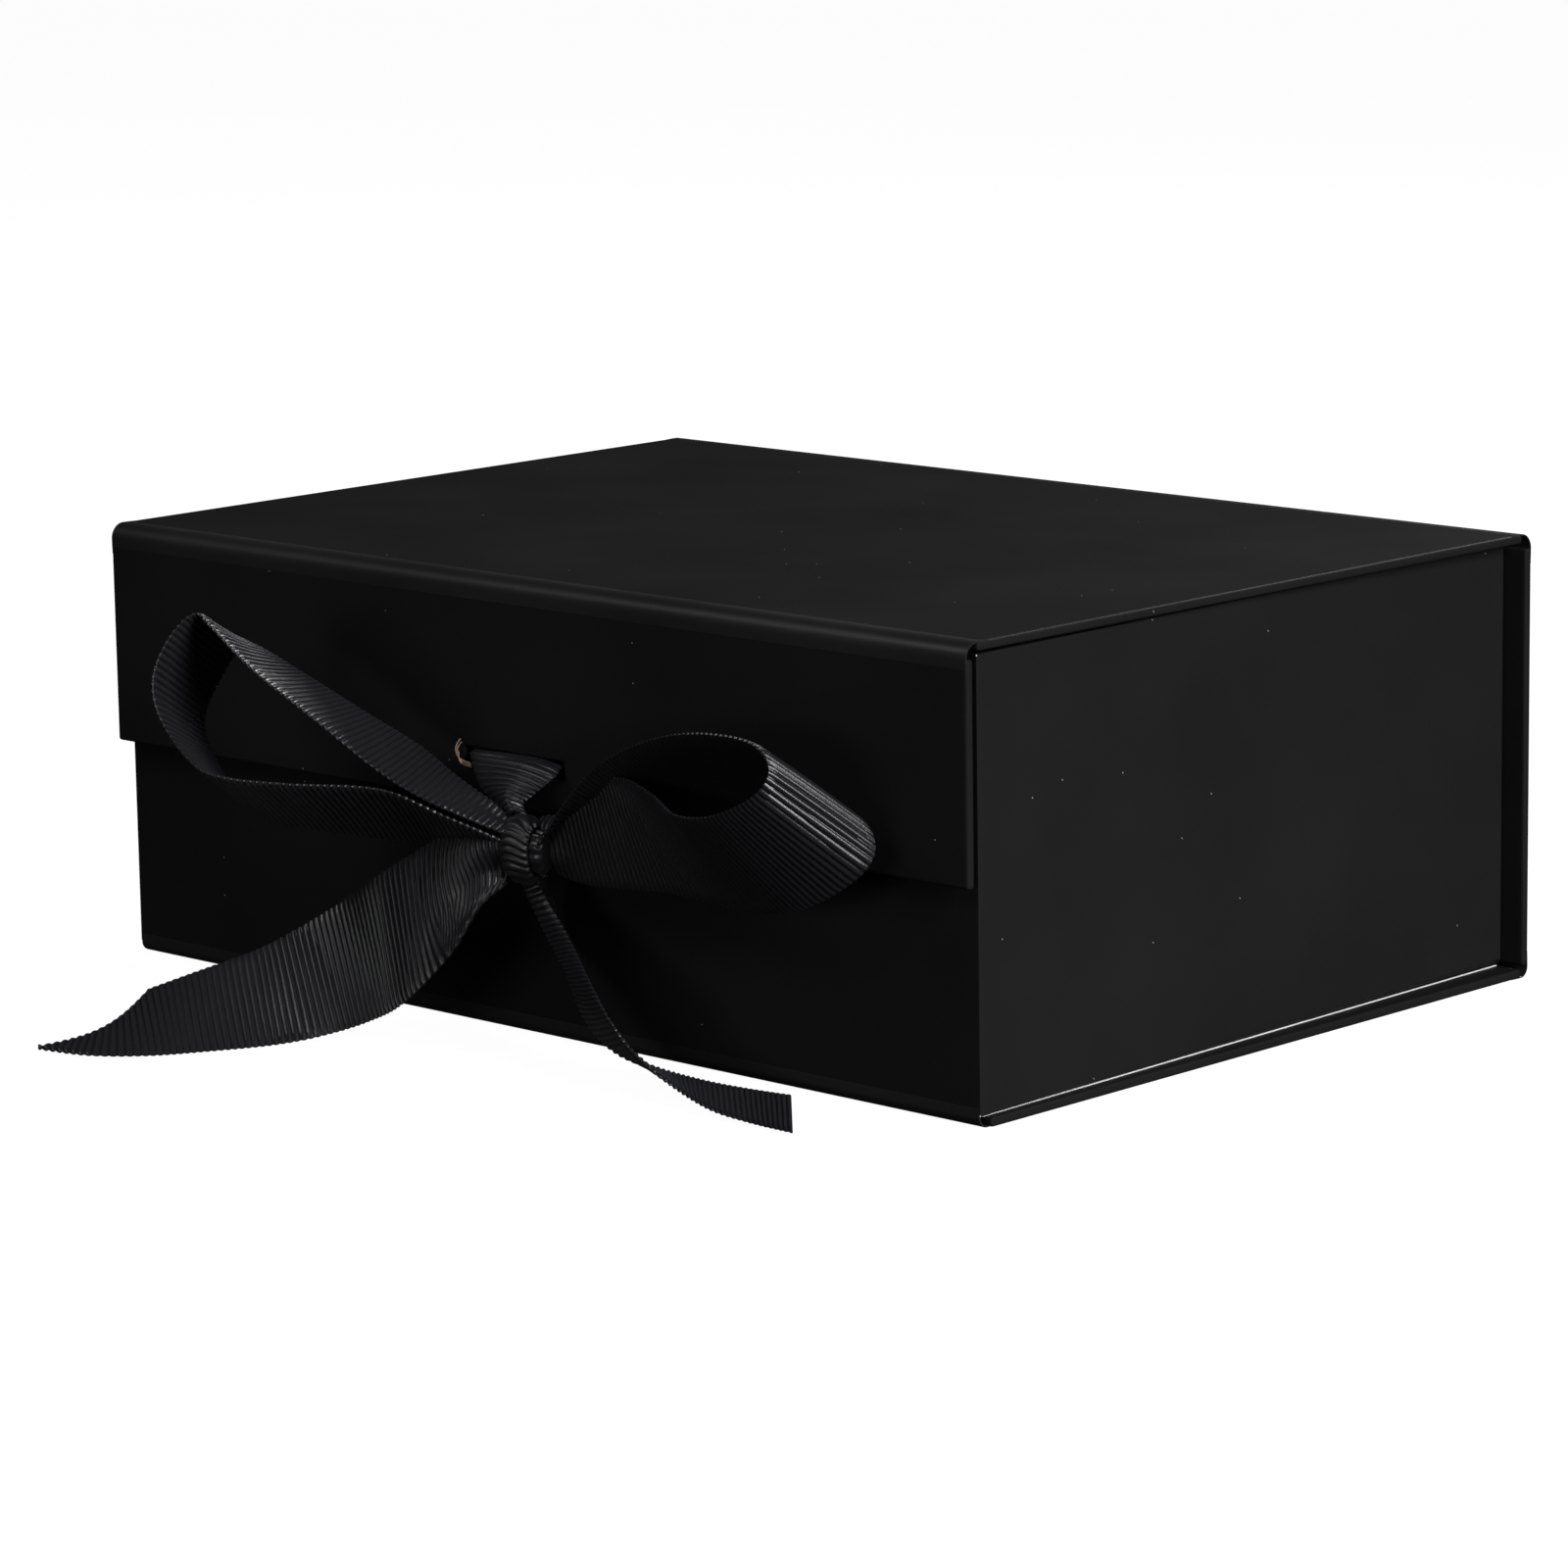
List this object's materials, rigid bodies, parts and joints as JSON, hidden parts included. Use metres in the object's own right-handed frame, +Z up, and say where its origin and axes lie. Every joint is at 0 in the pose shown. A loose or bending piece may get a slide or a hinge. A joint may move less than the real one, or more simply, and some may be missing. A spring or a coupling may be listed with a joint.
{
  "type": "jewelry gift box",
  "caption": "Rigid folding gift box with a hinged lid, a magnetic front flap and a ribbon tied in a bow through a slot in the flap.",
  "frame": {"origin": "middle of the case's underside, halfway across its width and halfway from the flap's face to the spine's face", "axes": "+X to the right along the width as seen from the front, +Y from the front flap to the hinged back, +Z up"},
  "size_m": [0.23, 0.2307, 0.088],
  "materials": {
    "matt_black_paper": "matt soft-touch laminated wrapping paper on greyboard",
    "inner_black_paper": "uncoated black paper",
    "black_grosgrain": "ribbed polyester grosgrain with a faint sheen",
    "magnet_nickel": "nickel plated",
    "plate_steel": "plain steel",
    "double_sided_tape": "adhesive tape"
  },
  "bodies": {
    "tray": {"base_board": "matt_black_paper", "base_lining": "inner_black_paper", "front_board": "matt_black_paper", "front_lining": "inner_black_paper", "spine_board": "matt_black_paper", "spine_lining": "inner_black_paper", "side_board_left": "matt_black_paper", "side_board_right": "matt_black_paper", "side_lining_left": "inner_black_paper", "side_lining_right": "inner_black_paper", "tab_front_left": "matt_black_paper", "tab_front_right": "matt_black_paper", "tab_back_left": "matt_black_paper", "tab_back_right": "matt_black_paper", "tape_front_left": "double_sided_tape", "tape_front_right": "double_sided_tape", "tape_back_left": "double_sided_tape", "tape_back_right": "double_sided_tape", "steel_plate_left": "plate_steel", "steel_plate_right": "plate_steel", "fold_base_front": "matt_black_paper", "fold_base_spine": "matt_black_paper"},
    "lid": {"lid_board": "matt_black_paper", "lid_lining": "inner_black_paper", "fold_lid_spine": "matt_black_paper", "fold_lid_flap": "matt_black_paper"},
    "flap": {"flap_board": "matt_black_paper", "flap_lining": "inner_black_paper", "magnet_left": "magnet_nickel", "magnet_right": "magnet_nickel", "ribbon_anchor": "black_grosgrain", "ribbon_leader": "black_grosgrain", "bow_knot": "black_grosgrain", "bow_loop_left": "black_grosgrain", "bow_loop_right": "black_grosgrain", "bow_tail_left": "black_grosgrain", "bow_tail_right": "black_grosgrain"}
  },
  "joints": [
    {"name": "lid_hinge", "type": "hinge", "parent": "tray", "child": "lid", "pos_m": [0, 0.08112, 0.08712], "axis": [-1, 0, 0], "range_deg": [0, 180], "deforming": ["fold_lid_spine"]},
    {"name": "flap_hinge", "type": "hinge", "parent": "lid", "child": "flap", "pos_m": [0, -0.08112, 0.08712], "axis": [-1, 0, 0], "range_deg": [0, 90], "deforming": ["fold_lid_flap"]}
  ]
}
